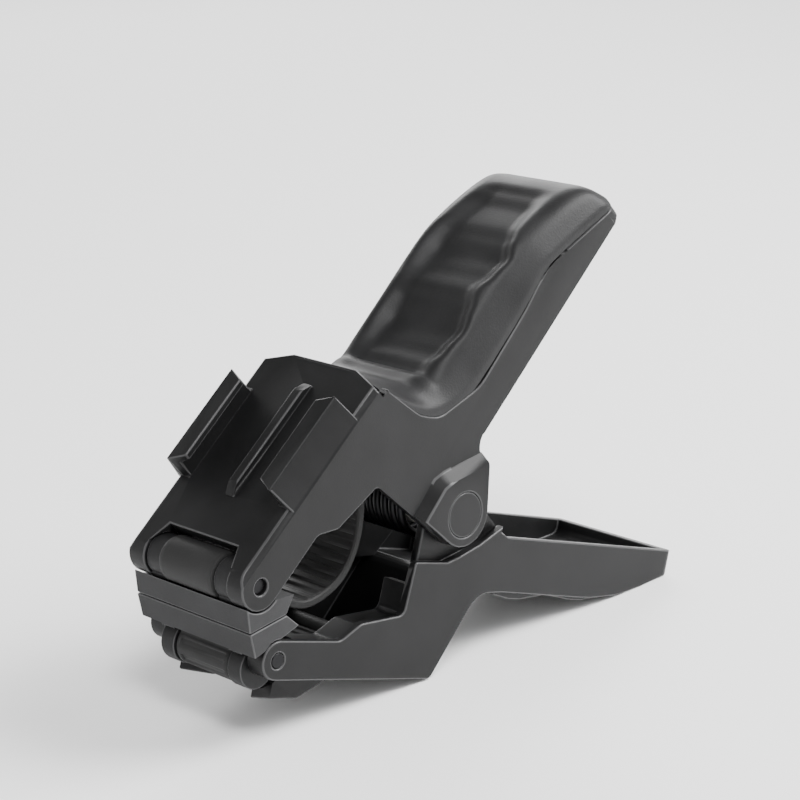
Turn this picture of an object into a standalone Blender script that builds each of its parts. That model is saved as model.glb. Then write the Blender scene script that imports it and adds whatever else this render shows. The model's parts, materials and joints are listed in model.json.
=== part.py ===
"""Spring jaw clamp with a quick-release base.

Lengths are in millimetres and angles in degrees; MM turns them into metres.
The clamp is drawn in its own frame: the main pivot is the origin, X runs back
along the flat bottom of the lower jaw, Y runs along the pivot and Z is up.
The whole clamp is then tilted until it stands on the lower jaw's rear corner
and on the underside of the lower handle.
"""

import math

import bmesh
import bpy
from mathutils import Matrix, Vector

MM = 0.001
FACET = 12.0            # largest turn between neighbouring facets of an arc
GAP = 0.3               # clearance between pieces that touch

# Widths, measured from the middle plane
HALF_WIDTH = 24.0       # jaws and pads
WALL_IN = 21.4          # inner face of the side walls
EAR_OUT = 20.4          # inner ears of the lower jaw
EAR_IN = 17.6
BOSS_OUT = 27.0         # raised pivot bosses of the upper jaw
KNUCKLE_IN = 17.4       # inner face of the tip knuckles
ARM_OUT = 17.0          # arms of the pad carriers
ARM_IN = 11.4
BAND_HALF = 10.9        # flexible bands

# Tip pins, in the clamp's frame
UPPER_PIN = (-72.5, -23.6)
LOWER_PIN = (-61.0, -43.9)
UPPER_ARM_R = 6.0
LOWER_ARM_R = 5.2
LOWER_LOBE = (-1.9, -3.2)   # lower arms and band loop bulge forwards and down, in the pad's frame
LOBE_ARM_R = 6.3
LOBE_BAND_R = 6.0
UPPER_KNUCKLE_R = 6.8
LOWER_KNUCKLE_R = 5.6
PIN_R = 2.2

# Mounting plate of the upper jaw: u runs up the plate, h stands off it
PLATE_ORIGIN = (-74.7, -14.5)
PLATE_ANGLE = 56.4
PLATE_LENGTH = 61.4
PLATE_THICK = 3.5
PLATE_FACE_HALF = 22.4  # flat face, inside the edge chamfers
CORNER_IN = 12.4        # where the plate's slanted rear corners begin
CORNER_BACK = 4.3       # how far they run down the plate

# Quick-release rails on the plate
RAIL_START = 14.7
RAIL_END = 47.0
RAIL_LEAD = 2.4         # slant of the lips' ends
RAIL_HEIGHT = 8.6
RAIL_LIP = 2.2
RAIL_LIP_IN = 15.4
RAIL_FLOOR_IN = 18.5
RAIL_TOP_OUT = 21.7

# Upper handle: s runs up the handle, d stands off its open back edge
HANDLE_ORIGIN = (4.9, 22.4)
HANDLE_ANGLE = 59.5
HANDLE_END = 84.0
SKIN = 2.6

# Pivot
BOSS_R = 9.8
CAP_R = 6.7
PIVOT_R = 4.0
SLEEVE_R = 6.4
COIL_R = 9.2
WIRE_R = 1.3
COIL_HALF = 10.0
COIL_TURNS = 6

# Lower jaw
BOTTOM = -49.5
REAR_CORNER = (1.6, BOTTOM)
REAR_CORNER_R = 2.2
UNDERSIDE_CORNER = (80.7, -24.2)
UNDERSIDE_R = 70.0
LOWER_END = 106.2
LOWER_END_R = 3.5       # corners of its end, seen from above
SKID_HALF = 17.0
SKID_TOP = -49.9        # under the tip pin
SKID_BRIDGE = -54.5     # underside between the skid's feet
FOOT_TIP = (-60.2, 15.2)    # plan of the skid's feet: front tip, and where the slants behind it end
FOOT_INNER = (-52.6, 9.2)
FOOT_OUTER = (-54.5, 17.05)
NOSE_WALL = -52.4
NOSE_HOLLOW_R = 10.4
STAND_TILT = 18.05      # nose-up tilt of the standing clamp

# Rods that hold the bands' rear loops
ROD_R = 1.5
UPPER_ROD = (-33.5, 13.5)
LOWER_ROD = (-24.5, -40.5)

# Grips and their screws, placed along each handle
LOWER_GRIP_HALF = 22.2
UPPER_SCREWS = ((15.0, 9.3), (54.0, 10.0))  # place up the handle, seat of the head
LOWER_SCREWS = (28.5, 70.0)
SHANK_R = 1.3
HEAD_R = 2.8
HEAD_HEIGHT = 1.9
UPPER_SCREW_TIP = 17.0
LOWER_SCREW_SEAT = -20.3
LOWER_SCREW_TIP = -23.0

# Pads: e runs back along the gripping face, n stands off it
PAD_ANGLE = 25.0
PAD_DEPTH = 13.5
PAD_PIN_HEIGHT = 11.6
UPPER_PAD_PIN_E = 6.2
LOWER_PAD_PIN_E = 8.0


# ---------------------------------------------------------------- helpers

def clear_scene():
    for obj in list(bpy.data.objects):
        bpy.data.objects.remove(obj, do_unlink=True)


def new_collection(name):
    group = bpy.data.collections.new(name)
    bpy.context.scene.collection.children.link(group)
    return group


def material(name, colour, roughness, metallic=0.0):
    mat = bpy.data.materials.new(name)
    mat.use_nodes = True
    shader = mat.node_tree.nodes["Principled BSDF"]
    shader.inputs["Base Color"].default_value = (*colour, 1.0)
    shader.inputs["Roughness"].default_value = roughness
    shader.inputs["Metallic"].default_value = metallic
    return mat


def turned(angle):
    """Unit vector in the XZ plane, at an angle above +X."""
    return math.cos(math.radians(angle)), math.sin(math.radians(angle))


def arc(centre, radius, start, end):
    """Points on a circle in the XZ plane, from one angle to another."""
    steps = max(2, math.ceil(abs(end - start) / FACET))
    points = []
    for i in range(steps + 1):
        cos, sin = turned(start + (end - start) * i / steps)
        points.append((centre[0] + radius * cos, centre[1] + radius * sin))
    return points


def rounded(corners):
    """Outline through corners (x, z) or (x, z, fillet radius)."""
    points = []
    for i, corner in enumerate(corners):
        here = Vector(corner[:2])
        if len(corner) == 2:
            points.append(tuple(here))
            continue
        back = (Vector(corners[i - 1][:2]) - here).normalized()
        on = (Vector(corners[(i + 1) % len(corners)][:2]) - here).normalized()
        half = back.angle(on) / 2
        middle = here + (back + on).normalized() * corner[2] / math.sin(half)
        start = here + back * corner[2] / math.tan(half) - middle
        end = here + on * corner[2] / math.tan(half) - middle
        a0 = math.degrees(math.atan2(start.y, start.x))
        turn = math.degrees(math.atan2(start.x * end.y - start.y * end.x, start.dot(end)))
        points.extend(arc(middle, corner[2], a0, a0 + turn))
    return points


def frame(origin, x_axis, y_axis):
    """Placement matrix whose local X and Y are the given directions."""
    x = Vector(x_axis).normalized()
    y = Vector(y_axis).normalized()
    z = x.cross(y)
    matrix = Matrix((x, y, z)).transposed().to_4x4()
    matrix.translation = Vector(origin) * MM
    return matrix


SIDE = frame((0, 0, 0), (1, 0, 0), (0, 0, 1))


def side_at(y):
    return frame((0, y, 0), (1, 0, 0), (0, 0, 1))


def finish_mesh(name, mesh, placement, group):
    bm = bmesh.new()
    bm.from_mesh(mesh)
    bmesh.ops.remove_doubles(bm, verts=bm.verts, dist=0.000002)
    bmesh.ops.transform(bm, matrix=placement, verts=bm.verts)
    bmesh.ops.recalc_face_normals(bm, faces=bm.faces)
    bm.to_mesh(mesh)
    bm.free()
    obj = bpy.data.objects.new(name, mesh)
    group.objects.link(obj)
    return obj


def prism(name, outline, half, placement=SIDE, group=None):
    """Flat outline extruded by half its thickness each way."""
    curve = bpy.data.curves.new(name, "CURVE")
    curve.dimensions = "2D"
    curve.fill_mode = "BOTH"
    curve.extrude = half * MM
    spline = curve.splines.new("POLY")
    spline.points.add(len(outline) - 1)
    for point, (x, y) in zip(spline.points, outline):
        point.co = (x * MM, y * MM, 0, 1)
    spline.use_cyclic_u = True
    return curve_to_mesh(name, curve, placement, group)


def curve_to_mesh(name, curve, placement, group):
    holder = bpy.data.objects.new(name + "_curve", curve)
    bpy.context.scene.collection.objects.link(holder)
    bpy.context.view_layer.update()
    graph = bpy.context.evaluated_depsgraph_get()
    mesh = bpy.data.meshes.new_from_object(holder.evaluated_get(graph))
    bpy.data.objects.remove(holder, do_unlink=True)
    return finish_mesh(name, mesh, placement, group or CUTTERS)


def slab(name, outline, y_low, y_high, group=None):
    """XZ outline between two widths."""
    return prism(name, outline, (y_high - y_low) / 2, side_at((y_low + y_high) / 2), group)


def disc(name, centre, radius, y_low, y_high, group=None, segments=32):
    """Round bar along Y."""
    mesh = bpy.data.meshes.new(name)
    bm = bmesh.new()
    bmesh.ops.create_cone(bm, cap_ends=True, segments=segments, radius1=radius * MM,
                          radius2=radius * MM, depth=(y_high - y_low) * MM)
    bm.to_mesh(mesh)
    bm.free()
    middle = (centre[0], (y_low + y_high) / 2, centre[1])
    return finish_mesh(name, mesh, frame(middle, (1, 0, 0), (0, 0, 1)), group or CUTTERS)


def box(x_low, x_high, z_low, z_high):
    return [(x_low, z_low), (x_high, z_low), (x_high, z_high), (x_low, z_high)]


def combine(target, tool, operation):
    modifier = target.modifiers.new(tool.name, "BOOLEAN")
    modifier.operation = operation
    modifier.object = tool
    modifier.solver = "EXACT"
    tool.hide_render = True
    tool.display_type = "WIRE"


def cut(target, *tools):
    for tool in tools:
        combine(target, tool, "DIFFERENCE")


def fuse(target, *tools):
    for tool in tools:
        combine(target, tool, "UNION")


def attach(obj, parent):
    """Parents an object and every tool that shapes it."""
    obj.parent = parent
    for modifier in obj.modifiers:
        if modifier.type == "BOOLEAN":
            attach(modifier.object, parent)


def dress(obj, mat, parent):
    obj.data.materials.clear()
    obj.data.materials.append(mat)
    obj.data.shade_smooth()
    obj.data.set_sharp_from_angle(angle=math.radians(25))
    attach(obj, parent)


def empty(name, place, rotation, parent):
    obj = bpy.data.objects.new(name, None)
    bpy.context.scene.collection.objects.link(obj)
    obj.location = (place[0] * MM, 0, place[1] * MM)
    obj.rotation_euler = (0, math.radians(rotation), 0)
    obj.parent = parent
    return obj


def plate(u, h):
    """Point (u, h) of the mounting plate as (x, z)."""
    cos, sin = turned(PLATE_ANGLE)
    return PLATE_ORIGIN[0] + u * cos - h * sin, PLATE_ORIGIN[1] + u * sin + h * cos


def plate_frame(u, h, along):
    """Frame on the plate whose local X is Y; its local Y is the plate's u or h."""
    cos, sin = turned(PLATE_ANGLE)
    x, z = plate(u, h)
    second = (cos, 0, sin) if along == "u" else (-sin, 0, cos)
    return frame((x, 0, z), (0, 1, 0), second)


def handle(s, d):
    """Point (s, d) of the upper handle as (x, z)."""
    cos, sin = turned(HANDLE_ANGLE)
    return HANDLE_ORIGIN[0] + s * cos - d * sin, HANDLE_ORIGIN[1] + s * sin + d * cos


def handle_frame(s, d):
    """Frame on the upper handle whose local X is Y and local Y runs up the handle."""
    cos, sin = turned(HANDLE_ANGLE)
    x, z = handle(s, d)
    return frame((x, 0, z), (0, 1, 0), (cos, 0, sin))


def underside_frame(x):
    """Frame over the lower handle's floor whose local X is Y and local Y runs back."""
    return frame((x, 0, 0), (0, 1, 0), (1, 0, 0))


def cut_corners(target, end, radius, depth, placement):
    """Rounds the two corners of a handle's end, seen from above; local Y points along it."""
    for side in (-1, 1):
        middle = (HALF_WIDTH - radius, end - radius)
        corner = arc(middle, radius, 0, 90) + [(middle[0], end + 1), (HALF_WIDTH + 1, end + 1),
                                               (HALF_WIDTH + 1, middle[1])]
        cut(target, prism("corner_cutter", [(side * x, y) for x, y in corner], depth, placement))


def mirrored(half_outline):
    """Closed outline from its right half, listed from bottom to top."""
    return half_outline + [(-x, y) for x, y in reversed(half_outline)]


# ------------------------------------------------------------- upper lever

def seam(offset):
    """Line where the grip meets the upper lever, moved off the handle by an offset."""
    return [
        handle(HANDLE_END, 3.4 + offset),
        (*handle(60.5, 11.6 + offset), 30),
        (*handle(50.5, 14.7 + offset), 25),
        (*handle(37, 12.9 + offset), 60),
        (*handle(10, 12.3 + offset), 14),
        (*handle(-6.3, 19.6 + offset), 8),
        (*handle(-10.4, 26.6 + offset), 12),
    ]


def upper_outline():
    return rounded([
        *arc(UPPER_PIN, UPPER_KNUCKLE_R, PLATE_ANGLE + 90, PLATE_ANGLE + 270),
        (-54.7, -8.8, 3), (-47.3, -6.7, 3), (-35.1, 5.9, 2),
        *arc((0, 0), BOSS_R, -114, 5),
        (6.9, 14.8), (3.0, 21.0, 6),
        (*handle(HANDLE_END, 0), 2.5),
        *seam(0),
        plate(PLATE_LENGTH - 1.5, -5), plate(PLATE_LENGTH, 0),
    ])


def upper_cavity():
    inner = seam(-SKIN)
    inner[0] = handle(HANDLE_END - SKIN, 1.8)
    return rounded([
        plate(8, -PLATE_THICK), plate(8, -30), (-30, -30), (25, -14),
        handle(10, -20), handle(HANDLE_END - SKIN, -20),
        *inner,
        (*plate(PLATE_LENGTH - 5, -PLATE_THICK - 3), 3),
        (*plate(PLATE_LENGTH - 8, -PLATE_THICK), 3),
    ])


def cut_upper_tip(jaw):
    """Slot between the knuckles and the window over the band's loop."""
    top = -PLATE_THICK - 0.3
    corners = ((-16, 9), (-6.4, 9), (-6.4, top), (1.0, top), (1.0, -10.5), (8.2, -13), (8.2, -25), (-16, -25))
    slot = [plate(u, h) for u, h in corners]
    cut(jaw, prism("upper_tip_slot", slot, KNUCKLE_IN))
    cut(jaw, disc("arm_relief", UPPER_PIN, UPPER_ARM_R + 0.35, -KNUCKLE_IN + 0.1, KNUCKLE_IN - 0.1))
    window = mirrored([(ARM_OUT + 0.1, -8), (ARM_OUT + 0.1, -6.8), (14.3, 0)])
    cut(jaw, prism("window_cutter", window, 6, plate_frame(0, -2, "u")))


def cut_rear_corners(target, inset, low, high):
    """Slants the rear corners of the plate or of the grip behind it, between two heights over the plate."""
    for side in (-1, 1):
        start = CORNER_IN - inset
        corner = [(side * start, PLATE_LENGTH + 0.1), (side * 26, PLATE_LENGTH + 0.1),
                  (side * 26, PLATE_LENGTH - CORNER_BACK * (26 - start) / (HALF_WIDTH - CORNER_IN))]
        tool = prism("rear_corner_cutter", corner, (high - low) / 2, plate_frame(0, (low + high) / 2, "u"))
        cut(target, tool)


def cut_plate_edges(jaw):
    """Chamfers along the plate's long edges and across its rear corners."""
    drop = HALF_WIDTH - PLATE_FACE_HALF
    for side in (-1, 1):
        wedge = [(side * PLATE_FACE_HALF - side * 0.5, 0.5), (side * (HALF_WIDTH + 2), 0.5),
                 (side * (HALF_WIDTH + 2), -drop - 2)]
        cut(jaw, prism("plate_edge_cutter", wedge, 50, plate_frame(PLATE_LENGTH / 2, 0, "h")))
    cut_rear_corners(jaw, 0, -4, 5)


def rail_profile():
    """Half section of a rail: y outwards, h off the plate."""
    return [
        (HALF_WIDTH - 0.4, -3.4), (HALF_WIDTH - 0.2, -0.6),
        (RAIL_TOP_OUT, RAIL_HEIGHT - 0.4), (RAIL_TOP_OUT - 0.4, RAIL_HEIGHT),
        (RAIL_LIP_IN, RAIL_HEIGHT), (RAIL_LIP_IN, RAIL_HEIGHT - RAIL_LIP),
        (RAIL_FLOOR_IN, RAIL_HEIGHT - RAIL_LIP - 0.6), (RAIL_FLOOR_IN, -1), (RAIL_FLOOR_IN + 1.5, -3),
    ]


def add_rails(jaw):
    """Two rails with inward lips whose ends slant to lead the buckle in, and the low rib between them."""
    middle = (RAIL_START + RAIL_END) / 2
    half = (RAIL_END - RAIL_START) / 2
    for side in (-1, 1):
        rail = prism("rail", [(side * v, h) for v, h in rail_profile()], half, plate_frame(middle, 0, "h"))
        for end, sense in ((RAIL_START, 1), (RAIL_END, -1)):
            slant = [(RAIL_TOP_OUT - 0.6, -1), (RAIL_TOP_OUT - 0.6, -0.05), (RAIL_LIP_IN, RAIL_LEAD),
                     (RAIL_LIP_IN - 2, RAIL_LEAD), (RAIL_LIP_IN - 2, -1)]
            outline = [(side * v, end + sense * u) for v, u in slant]
            cut(rail, prism("rail_end_cutter", outline, 5, plate_frame(0, 5.2, "u")))
        fuse(jaw, rail)
    rib = [plate(u, h) for u, h in ((13.2, -1), (13.2, 0.4), (17, 2.4), (49, 2.4), (52.8, 0.4), (52.8, -1))]
    fuse(jaw, prism("plate_rib", rib, 1.7))


def add_bosses(jaw):
    """Raised round-ended platforms over the pivot, ramped on their front and top."""
    outer = arc((0, 0), BOSS_R - 0.15, -114, 5)
    outer += [(6.7, 14.8), (4.9, 18.2), (-9.4, 11.5), (-12.7, 9.1), (-18.4, -1.7)]
    ramps = (((-18.6, -1.9), (-12.7, 9.1)), ((-9.4, 11.5), (5.2, 18.4)), ((-12.7, 9.1), (-9.4, 11.5)))
    rise = BOSS_OUT - HALF_WIDTH
    for side in (-1, 1):
        boss = slab("boss", outer, *sorted((side * (WALL_IN + 0.6), side * BOSS_OUT)))
        for start, end in ramps:
            along = Vector((end[0] - start[0], 0, end[1] - start[1])).normalized()
            inward = Vector((along.z, 0, -along.x))
            profile = [(-2, -0.01), (0, -0.01), (rise + 0.6, rise + 0.6), (-2, rise + 0.6)]
            place = frame(((start[0] + end[0]) / 2, side * HALF_WIDTH, (start[1] + end[1]) / 2),
                          inward, (0, side, 0))
            cut(boss, prism("ramp_cutter", profile, 30, place))
        fuse(jaw, boss)


def bore_upper(jaw):
    cut(jaw, disc("upper_pivot_bore", (0, 0), PIVOT_R + 0.15, -40, 40))
    for side in (-1, 1):
        seat = sorted((side * (BOSS_OUT - 1.6), side * 40))
        cut(jaw, disc("cap_seat", (0, 0), CAP_R + 0.15, *seat))
    cut(jaw, disc("upper_pin_bore", UPPER_PIN, PIN_R + 0.15, -40, 40))
    cut(jaw, disc("upper_rod_bore", UPPER_ROD, ROD_R + 0.15, -22.6, 22.6, segments=20))
    for s, seat in UPPER_SCREWS:
        cut(jaw, screw_bar("upper_screw_bore", SHANK_R + 0.3, seat - 0.5, seat + 8, handle_frame(s, 0)))


def upper_ribs(jaw):
    """Stiffening webs across the handle's channel."""
    for s, top in ((22, 11.5), (46, 12.5), (65, 8.6)):
        web = [handle(s - 0.8, 3), handle(s + 0.8, 3), handle(s + 0.8, top), handle(s - 0.8, top)]
        fuse(jaw, prism("upper_web", web, WALL_IN + 0.4))


def make_upper_jaw(parent):
    jaw = prism("upper_jaw", upper_outline(), HALF_WIDTH, group=PARTS)
    cut_plate_edges(jaw)
    cut(jaw, prism("upper_cavity", upper_cavity(), WALL_IN))
    cut_upper_tip(jaw)
    cut_corners(jaw, HANDLE_END, 5, 30, handle_frame(0, 0))
    upper_ribs(jaw)
    add_rails(jaw)
    add_bosses(jaw)
    bore_upper(jaw)
    dress(jaw, BLACK, parent)
    return jaw


# ------------------------------------------------------------- lower lever

MOUTH_EDGE = [
    (12.3, -9.1), (4.6, -12.9), (-0.1, -14.8), (-13.6, -15.1, 1),
    (-14.5, -30.6, 2.5), (-31.1, -33.3, 4), (-38.2, -38.3, 4),
]


def lower_outline():
    return rounded([
        *arc(LOWER_PIN, LOWER_KNUCKLE_R, 90, 270),
        (*REAR_CORNER, REAR_CORNER_R), (15.4, -23.8, 9), (26, -23.2), (62, -24.2),
        (*UNDERSIDE_CORNER, UNDERSIDE_R), (LOWER_END - 0.3, -15.3, 4), (LOWER_END, -8.0, 0.8),
        (24.4, -6.5), (21.0, -5.0), (21.3, -3.3),
        *MOUTH_EDGE,
    ])


def lower_cavity():
    return rounded([
        (-53, -46.4), (-1.7, -46.4, 2), (13.0, -20.6, 6), (76, -20.6, 30), (101.6, -12.6, 3),
        (101.6, 5), (60, 20), (-80, 20), (-80, -41), (-53, -41),
    ])


def add_shelf(jaw):
    """Step just inside each mouth edge."""
    strip = rounded([
        (-52, -39.0), (-38.0, -39.0, 3), (-30.9, -34.0, 3), (-13.9, -31.3, 2.5), (-13.7, -22),
        (-10.9, -22), (-10.9, -34.0, 2.5), (-29.8, -37.0, 3), (-37.0, -42.0, 3), (-52, -42.0),
    ])
    for side in (-1, 1):
        fuse(jaw, slab("shelf", strip, *sorted((side * 12.5, side * (WALL_IN + 0.6)))))


def add_skid(jaw):
    """Raised skid under the nose."""
    skid = rounded([
        (-62.9, -47), (-64.3, -52.6), (-61.2, -56.7, 0.8),
        (-44.2, -56.7, 0.8), (-29.5, -49.2), (-29.5, -47),
    ])
    fuse(jaw, prism("skid", skid, SKID_HALF))
    cut(jaw, prism("skid_gap", box(-70, -38, -60, SKID_BRIDGE), FOOT_INNER[1]))
    plan = frame((0, 0, -54.95), (1, 0, 0), (0, 1, 0))
    slant = (FOOT_OUTER[1] - FOOT_TIP[1]) / (FOOT_OUTER[0] - FOOT_TIP[0])
    for side in (-1, 1):
        corner = [FOOT_TIP, FOOT_OUTER, (FOOT_OUTER[0], 19), (-70, 19),
                  (-70, FOOT_TIP[1] - slant * (FOOT_TIP[0] + 70))]
        cut(jaw, prism("foot_corner_cutter", [(x, side * y) for x, y in corner], 5, plan))


def add_inner_ears(jaw):
    ear = rounded([
        (-9.5, -19), (4, -22), (22.5, -12), (21.4, -3.6), (13.5, 2.0, 3), (10.4, 9.0, 5), (-9.5, 10.4, 8),
    ])
    for side in (-1, 1):
        fuse(jaw, slab("inner_ear", ear, *sorted((side * EAR_IN, side * EAR_OUT))))
        foot = rounded([(-9.5, -24), (13, -22), (22.5, -10), (21.3, -3.9),
                    (12.3, -9.7), (4.6, -13.5), (-0.1, -15.4),
                        (-9.5, -15.6)])
        fuse(jaw, slab("ear_foot", foot, *sorted((side * EAR_IN, side * (HALF_WIDTH - 1.5)))))


def add_lower_ribs(jaw):
    """Curved webs across the handle's channel."""
    for x in (33, 44, 55):
        web = slab("lower_web", box(x - 0.8, x + 0.8, -22, -8.6), -WALL_IN - 0.4, WALL_IN + 0.4)
        across = frame((x, 0, 0), (0, 1, 0), (0, 0, 1))
        scoop = prism("web_scoop", arc((0, 5.4), 21.6, 0, 360)[:-1], 3, across)
        cut(web, scoop)
        fuse(jaw, web)


def cut_nose(jaw):
    """Slot between the knuckles, hollowed for the arms and open between the skid's feet."""
    cut(jaw, prism("nose_slot", box(-70, NOSE_WALL, SKID_TOP, -30), KNUCKLE_IN))
    cut(jaw, disc("nose_hollow", LOWER_PIN, NOSE_HOLLOW_R, -KNUCKLE_IN, KNUCKLE_IN, segments=48))
    between = [FOOT_INNER, FOOT_TIP, (-62.4, 16.9), (-70, 16.9)]
    between += [(x, -y) for x, y in reversed(between)]
    cut(jaw, prism("foot_gap", between, 6.5, frame((0, 0, -53.5), (1, 0, 0), (0, 1, 0))))


def bore_lower(jaw):
    cut(jaw, disc("lower_pivot_bore", (0, 0), PIVOT_R + 0.15, -40, 40))
    cut(jaw, disc("lower_pin_bore", LOWER_PIN, PIN_R + 0.15, -40, 40))
    cut(jaw, disc("lower_rod_bore", LOWER_ROD, ROD_R + 0.15, -22.6, 22.6, segments=20))
    cut(jaw, prism("lower_grip_seat", lower_grip_outline(GAP), LOWER_GRIP_HALF + GAP))
    for x in LOWER_SCREWS:
        cut(jaw, screw_bar("lower_screw_bore", SHANK_R + 0.3, -27, -18, underside_frame(x)))


def make_lower_jaw(parent):
    jaw = prism("lower_jaw", lower_outline(), HALF_WIDTH, group=PARTS)
    cut(jaw, prism("lower_cavity", lower_cavity(), WALL_IN))
    cut_corners(jaw, LOWER_END, LOWER_END_R, 30, frame((0, 0, 0), (0, 1, 0), (1, 0, 0)))
    add_inner_ears(jaw)
    add_shelf(jaw)
    add_skid(jaw)
    add_lower_ribs(jaw)
    cut_nose(jaw)
    bore_lower(jaw)
    dress(jaw, BLACK, parent)
    return jaw


# ------------------------------------------------------------------- grips

def upper_grip_outline():
    """Side outline from the seam up to the crest, and round the handle's end."""
    base = seam(GAP)
    crest = [
        (*plate(PLATE_LENGTH + 0.6, -2.4), 1), (-29, 33.9, 12), (-17.8, 34.3, 12),
        (*handle(30, 26.6), 60), (*handle(48, 26.4), 40), (*handle(58, 24.4), 40), (*handle(76, 18.8), 20),
        (*handle(HANDLE_END + 0.4, 13.4), 7), (*handle(HANDLE_END + 0.4, 3.8), 0.5),
    ]
    return rounded(crest + base[1:] + [plate(PLATE_LENGTH + 0.2, -8)])


def cut_bowls(grip):
    """Finger bowls along the crest: place up the handle, crest height and depth."""
    half_length, half_width, half_height = 21, 26, 22
    for s, crest, depth in ((20, 26.4, 5.0), (47.5, 25.4, 5.0), (66, 21.2, 3.0)):
        x, z = handle(s, crest + half_height - depth)
        bowl = ball("bowl", 1.0)
        for vert in bowl.data.vertices:
            vert.co = Vector((vert.co.x * half_length, vert.co.y * half_width, vert.co.z * half_height))
        bowl.data.transform(Matrix.Rotation(math.radians(-HANDLE_ANGLE), 4, "Y"))
        bowl.data.transform(Matrix.Translation(Vector((x, 0, z)) * MM))
        cut(grip, bowl)


def cut_shoulders(grip):
    """Slants both long edges of the crest."""
    cos, sin = turned(HANDLE_ANGLE)
    x, z = handle(45, 0)
    for side in (-1, 1):
        wedge = [(side * (HALF_WIDTH + 0.4), 15.6), (side * 18.0, 28.8), (side * (HALF_WIDTH + 6), 28.8)]
        cut(grip, prism("shoulder_cutter", wedge, 60, frame((x, 0, z), (0, 1, 0), (-sin, 0, cos))))


def ball(name, radius):
    mesh = bpy.data.meshes.new(name)
    bm = bmesh.new()
    bmesh.ops.create_uvsphere(bm, u_segments=24, v_segments=14, radius=radius * MM)
    bm.to_mesh(mesh)
    bm.free()
    return finish_mesh(name, mesh, Matrix(), CUTTERS)


def make_upper_grip(parent):
    grip = prism("upper_grip", upper_grip_outline(), HALF_WIDTH - 0.3, group=PARTS)
    cut_shoulders(grip)
    cut_rear_corners(grip, GAP, -5, 6)
    cut_bowls(grip)
    hollow = [handle(20, 5), handle(51, 5), handle(51, 18.2), handle(20, 16.6)]
    cut(grip, prism("grip_hollow", hollow, 17))
    for s, seat in UPPER_SCREWS:
        tip = UPPER_SCREW_TIP + GAP
        cut(grip, screw_bar("grip_screw_bore", SHANK_R + GAP, seat, tip, handle_frame(s, 0)))
    dress(grip, SATIN, parent)
    return grip


def lower_grip_outline(grow=0.0):
    """Side outline with two scallops below; it grows to make the jaw's seat."""
    return rounded([
        (24.5 - grow, -22.0 + grow), (74 + grow, -22.0 + grow), (74 + grow, -24.4),
        (66, -25.4, 6), (61, -25.4, 4), (48, -24.0, 16), (37, -25.6, 4), (32, -25.6, 4),
        (24.5 - grow, -24.4),
    ])


def make_lower_grip(parent):
    grip = prism("lower_grip", lower_grip_outline(), LOWER_GRIP_HALF, group=PARTS)
    for x in LOWER_SCREWS:
        tip = LOWER_SCREW_TIP - GAP
        cut(grip, screw_bar("lower_grip_bore", SHANK_R + GAP, tip, -18, underside_frame(x)))
    dress(grip, SATIN, parent)
    return grip


# ------------------------------------------------------------ screws, rods

def screw_bar(name, radius, low, high, place, group=None):
    """Round bar between two heights over a frame's XY plane, on the side against its Z."""
    mesh = bpy.data.meshes.new(name)
    bm = bmesh.new()
    bmesh.ops.create_cone(bm, cap_ends=True, segments=20, radius1=radius * MM,
                          radius2=radius * MM, depth=(high - low) * MM)
    bm.to_mesh(mesh)
    bm.free()
    flip = Matrix.Rotation(math.pi, 4, "X")
    lift = Matrix.Translation((0, 0, (high + low) / 2 * MM))
    return finish_mesh(name, mesh, place @ flip @ lift, group or CUTTERS)


# ------------------------------------------------------------------ groups

def make_rod(name, centre, parent):
    rod = disc(name, centre, ROD_R, -22.3, 22.3, PARTS, segments=20)
    dress(rod, STEEL, parent)


def make_tip_pin(name, half, parent):
    pin = disc(name, (0, 0), PIN_R, -half, half, PARTS, segments=24)
    dress(pin, BLACK_STEEL, parent)


def ring(name, centre, outer, inner, y_low, y_high, segments=32):
    body = disc(name, centre, outer, y_low, y_high, PARTS, segments)
    cut(body, disc(name + "_hole", centre, inner, y_low - 1, y_high + 1, segments=segments))
    return body


def make_pivot(parent):
    pin = disc("pivot_pin", (0, 0), PIVOT_R, -25.1, 25.1, PARTS)
    dress(pin, STEEL, parent)
    for name, side in (("pivot_washer_near", -1), ("pivot_washer_far", 1)):
        washer = ring(name, (0, 0), 8.2, PIVOT_R + 0.15, *sorted((side * 20.65, side * 21.15)))
        dress(washer, NYLON, parent)
    sleeve = ring("spring_sleeve", (0, 0), SLEEVE_R, PIVOT_R + 0.2, -17.3, 17.3)
    dress(sleeve, NYLON, parent)


def make_caps(parent):
    """Round caps let into the upper jaw's bosses."""
    for name, side in (("pivot_cap_near", -1), ("pivot_cap_far", 1)):
        cap = disc(name, (0, 0), CAP_R, *sorted((side * (BOSS_OUT - 1.3), side * (BOSS_OUT - 0.1))), PARTS)
        dress(cap, BLACK, parent)


def tangent(point, side):
    """Angle at which a straight leg from a point meets the coil."""
    away = math.degrees(math.atan2(point[1], point[0]))
    return away + side * math.degrees(math.acos(COIL_R / math.hypot(*point)))


def spring_path():
    """Leg in the lower handle, coil round the pivot, leg in the upper handle."""
    lower_end = (30.0, -18.9)
    upper_end = handle(18.8, 7.2)
    start = tangent(lower_end, -1)
    total = 360.0 * COIL_TURNS + (start - tangent(upper_end, 1)) % 360.0
    steps = round(total / 22.5)
    points = [(lower_end[0], -COIL_HALF, lower_end[1])]
    for i in range(steps + 1):
        cos, sin = turned(start - total * i / steps)
        points.append((COIL_R * cos, -COIL_HALF + 2 * COIL_HALF * i / steps, COIL_R * sin))
    points.append((upper_end[0], COIL_HALF, upper_end[1]))
    return points


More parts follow.
